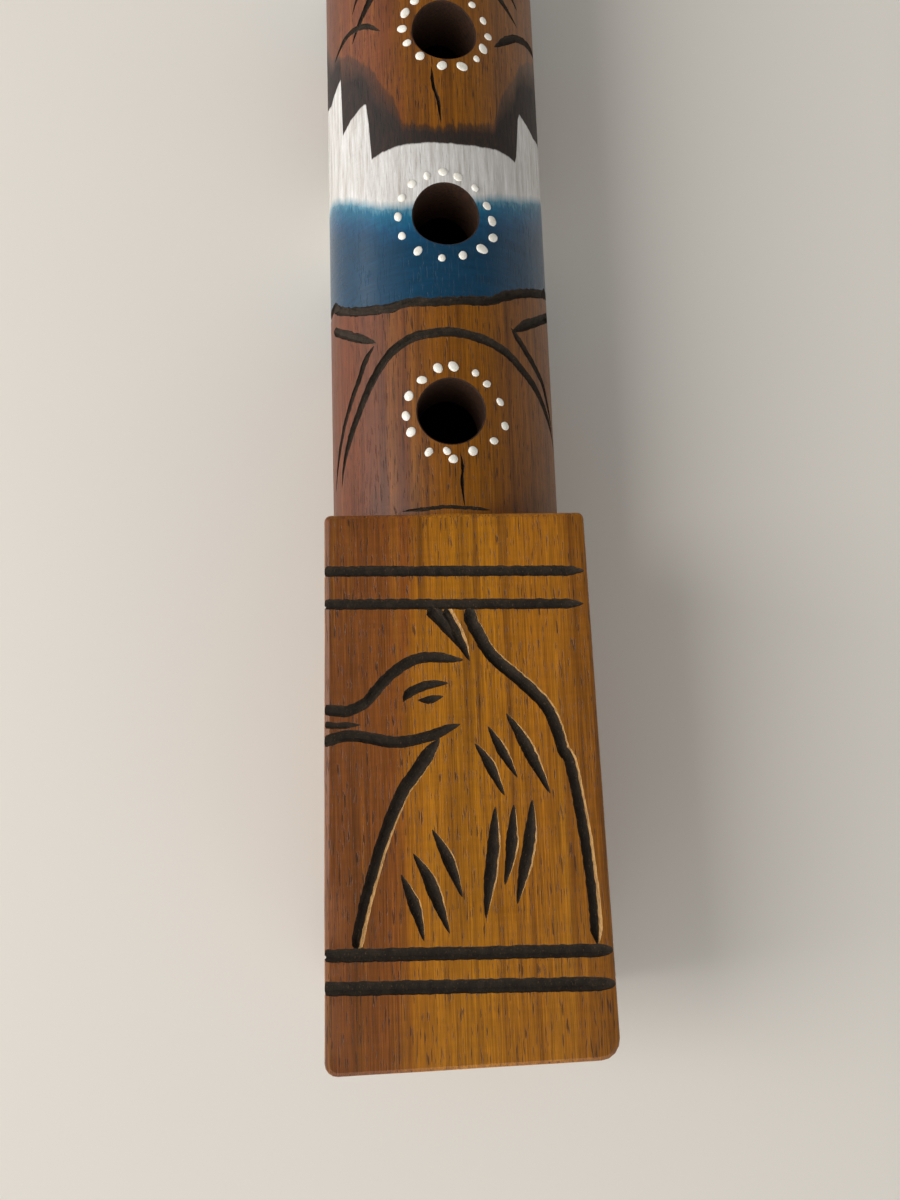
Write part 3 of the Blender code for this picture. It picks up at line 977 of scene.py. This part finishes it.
def make_bare_wood_and_highlight(material):
    recipe = Recipe(material)
    # Pale bare wood; on the strokes' walls that face the lamp it is also a painted highlight
    tooth = recipe.noise(3.5, 0.8, 4, 0.65, shift=113)
    colour = recipe.ramp(tooth, ((0.28, (0.10, 0.05, 0.018)), (0.5, (0.42, 0.22, 0.065)),
                                 (0.72, (0.55, 0.33, 0.12))))
    normal = recipe.bump(tooth, 0.12, 0.8)
    recipe.finish(Base_Color=colour, Roughness=0.62, Normal=normal)


def make_raw_bore_wood(material):
    recipe = Recipe(material)
    fibres = recipe.noise(3.0, 0.25, 4, 0.65, shift=127)
    colour = recipe.ramp(fibres, ((0.3, (0.010, 0.005, 0.003)), (0.7, (0.045, 0.018, 0.008))))
    normal = recipe.bump(fibres, 0.15, 0.8)
    recipe.finish(Base_Color=colour, Roughness=0.7, Specular_IOR_Level=0.25, Normal=normal)


make_black_stain(finishes[STAIN])
make_bare_wood_and_highlight(finishes[BARE_WOOD_AND_HIGHLIGHT])
make_raw_bore_wood(finishes[RAW])
print("stain, bare wood and bore are finished")

# %% [markdown]
# ## The plug
# The plug keeps the measured model's shape and only gets its own finish: pale sawn wood,
# finely grained along the flute, a little grubby from breath and handling.

# %% Plug wood
def make_plug_wood(material):
    recipe = Recipe(material)
    fibres = recipe.noise(4.5, 0.15, 4, 0.6, shift=131)
    colour = recipe.ramp(fibres, ((0.28, (0.24, 0.12, 0.045)), (0.52, (0.42, 0.235, 0.095)),
                                  (0.75, (0.50, 0.30, 0.13))))
    grime = recipe.remap(recipe.noise(0.35, 0.35, 4, 0.6, shift=137), 0.45, 0.75, 0.0, 0.45)
    colour = recipe.mix(grime, colour, (0.14, 0.075, 0.035))
    pores = recipe.remap(recipe.noise(6.0, 0.6, 2, 0.5, shift=139), 0.64, 0.70)
    height = recipe.maths('SUBTRACT', recipe.maths('MULTIPLY', fibres, 0.4), pores)
    recipe.finish(Base_Color=colour, Roughness=0.6, Normal=recipe.bump(height, 0.08, 0.7))


plug_wood = bpy.data.materials.new("plug_wood")
make_plug_wood(plug_wood)
plug = frame["nodes"]["windway_plug"]
for slot in plug.material_slots:
    slot.material = plug_wood
print("the plug is", round((plug_high.y - plug_low.y) / MM), "mm long")

# %% [markdown]
# ## Dots of enamel
# A ring of dots round each finger hole was set down one drop at a time with a stick, so the
# dots are small domes of unlike size, drawn out a little, and no ring is quite round. The
# three rings in the picture are placed from it, and the others by a formula with chance.

# %% Rings of dots
DOT_RINGS = (
    ((438, 368), (453.5, 366.5), (475.5, 373), (487, 384), (500, 402), (505, 426), (494, 441),
     (473, 451), (453.5, 459), (447, 451), (429, 452), (411, 432), (406, 416), (409, 396),
     (422, 380)),
    ((427, 176), (443, 172), (458, 177), (475, 188), (487, 206), (492, 221), (493, 238),
     (482, 249), (463, 255.5), (442, 258), (418, 251), (402, 236), (398, 217), (402, 198),
     (412, 184)),
    ((405, 13), (402, 29), (407, 43), (420, 56), (442, 65.5), (462, 66.5), (476.5, 59),
     (483, 49), (488, 37), (483, 21), (472, 5), (414.5, 1), (424, -8), (440, -13),
     (458, -8)),
)
RING_RADIUS = 6.6 * MM
DOTS_IN_RING = 15
DOT_RADIUS = 0.62 * MM
DOT_HEIGHT = 0.27 * MM
drops = Random(21)


def enamel_dot(shape, u, y):
    """One flattened drop on the barrel, half sunk in the varnish."""
    place, out = lay_on_barrel(u, y)
    along = Vector((0, 1, 0))
    across = along.cross(out)
    turn = drops.uniform(0, pi)
    wide = DOT_RADIUS * drops.uniform(0.8, 1.12)
    long = wide * drops.uniform(1.0, 1.3)
    rise = DOT_HEIGHT * drops.uniform(0.8, 1.15)
    first = across * cos(turn) + along * sin(turn)
    second = along * cos(turn) - across * sin(turn)
    basis = Matrix([first * wide, second * long, out * rise]).transposed().to_4x4()
    made = bmesh.ops.create_uvsphere(shape, u_segments=18, v_segments=10, radius=1)
    for vert in made["verts"]:
        lump = 1 + 0.1 * noise.noise(vert.co * 1.3 + Vector((u, y, 0)) / MM)
        vert.co *= lump
    bmesh.ops.transform(shape, verts=made["verts"], matrix=Matrix.Translation(place) @ basis)


def make_white_enamel(material):
    recipe = Recipe(material)
    cloud = recipe.noise(1.2, 1.2, 4, 0.6, shift=149)
    colour = recipe.ramp(cloud, ((0.3, (0.74, 0.70, 0.60)), (0.6, (0.86, 0.84, 0.78))))
    recipe.finish(Base_Color=colour, Roughness=0.35,
                  Normal=recipe.bump(recipe.noise(4, 4, 3, shift=151), 0.04, 0.6))
    recipe.finish(Coat_Weight=0.3, Coat_Roughness=0.15)


white_enamel = bpy.data.materials.new("white_enamel")
make_white_enamel(white_enamel)
for number, hole_y in enumerate(hole_ys, start=1):
    if number <= len(DOT_RINGS):
        places = [seen_on_barrel(*pixel) for pixel in DOT_RINGS[number - 1]]
    else:
        places = []
        for dot in range(DOTS_IN_RING):
            turn = 2 * pi * (dot + drops.uniform(-0.15, 0.15)) / DOTS_IN_RING
            radius = RING_RADIUS * drops.uniform(0.97, 1.05)
            places.append((radius * sin(turn), hole_y + radius * cos(turn)))
    shape = bmesh.new()
    for place in places:
        enamel_dot(shape, *place)
    ring = to_object(shape, f"dot_ring_{number}")
    ring.data.materials.append(white_enamel)
    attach(ring, "root")
print("six rings of", DOTS_IN_RING, "dots")

# %% [markdown]
# ## Table and light
# The flute lies on a plain pale table. A broad lamp stands low at the left, like a window, and
# the room fills the shadows with soft grey light. The room is dim overhead and brighter low
# round the walls, most of all at the left and behind.

# %% The table
FLOOR_SIZE = 4.0
shape = bmesh.new()
bmesh.ops.create_grid(shape, x_segments=1, y_segments=1, size=FLOOR_SIZE / 2)
table = to_object(shape, "table", smooth=False)
table_paint = bpy.data.materials.new("pale_table")
recipe = Recipe(table_paint)
mottle = recipe.noise(0.01, 0.01, 3, 0.5, shift=157)
recipe.finish(Base_Color=recipe.mix(mottle, (0.80, 0.765, 0.71), (0.84, 0.805, 0.745)),
              Roughness=0.6)
table.data.materials.append(table_paint)

# %% The room and the lamp
OVERHEAD_LIGHT = 0.12
WALL_LIGHT = 0.6
WINDOW_LIGHT = 0.35
LOW_WINDOW_LIGHT = 2.3
LIGHT_BEHIND = 1.2
LAMP_ELEVATION = radians(40)
LAMP_DISTANCE = 0.9
LAMP_SIZE = 0.34
LAMP_WATTS = 4.3
world = bpy.data.worlds.new("room")
bpy.context.scene.world = world
world.use_nodes = True
tree = world.node_tree
ground = tree.nodes["Background"]
ground.inputs["Color"].default_value = (1.0, 0.985, 0.96, 1)


def room_maths(operation, *values):
    node = tree.nodes.new("ShaderNodeMath")
    node.operation = operation
    for socket, value in zip(node.inputs, values):
        if isinstance(value, bpy.types.NodeSocket):
            tree.links.new(value, socket)
        else:
            socket.default_value = value
    return node.outputs[0]


def room_step(value, low, high, to_low, to_high):
    """A value's stretch from low to high, moved to another stretch and held there."""
    node = tree.nodes.new("ShaderNodeMapRange")
    tree.links.new(value, node.inputs[0])
    for socket, number in zip(list(node.inputs)[1:5], (low, high, to_low, to_high)):
        socket.default_value = number
    return node.outputs[0]


direction = tree.nodes.new("ShaderNodeTexCoord").outputs["Generated"]
split = tree.nodes.new("ShaderNodeSeparateXYZ")
tree.links.new(direction, split.inputs[0])
room = room_step(split.outputs["Z"], 0.62, 0.25, OVERHEAD_LIGHT, WALL_LIGHT)
for axis, start, end, light in (("X", -0.50, -0.60, WINDOW_LIGHT),
                                ("X", -0.82, -0.93, LOW_WINDOW_LIGHT),
                                ("Y", -0.45, -0.65, LIGHT_BEHIND)):
    room = room_maths('ADD', room, room_step(split.outputs[axis], start, end, 0.0, light))
tree.links.new(room, ground.inputs["Strength"])

lamp_data = bpy.data.lights.new("window_lamp", 'AREA')
lamp_data.shape = 'RECTANGLE'
lamp_data.size = LAMP_SIZE
lamp_data.size_y = LAMP_SIZE * 1.6
lamp_data.energy = LAMP_WATTS
lamp_data.color = (1.0, 0.975, 0.94)
lamp = bpy.data.objects.new("window_lamp", lamp_data)
bpy.context.scene.collection.objects.link(lamp)
target = Vector((0, FOOT_Y + 60 * MM, AXIS_Z))
towards = Vector((-cos(LAMP_ELEVATION), 0.02, sin(LAMP_ELEVATION)))
lamp.location = target + towards * LAMP_DISTANCE
lamp.rotation_euler = towards.to_track_quat('Z', 'Y').to_euler()
bpy.context.scene.view_settings.view_transform = 'Standard'
print("the lamp stands", LAMP_DISTANCE, "m away")
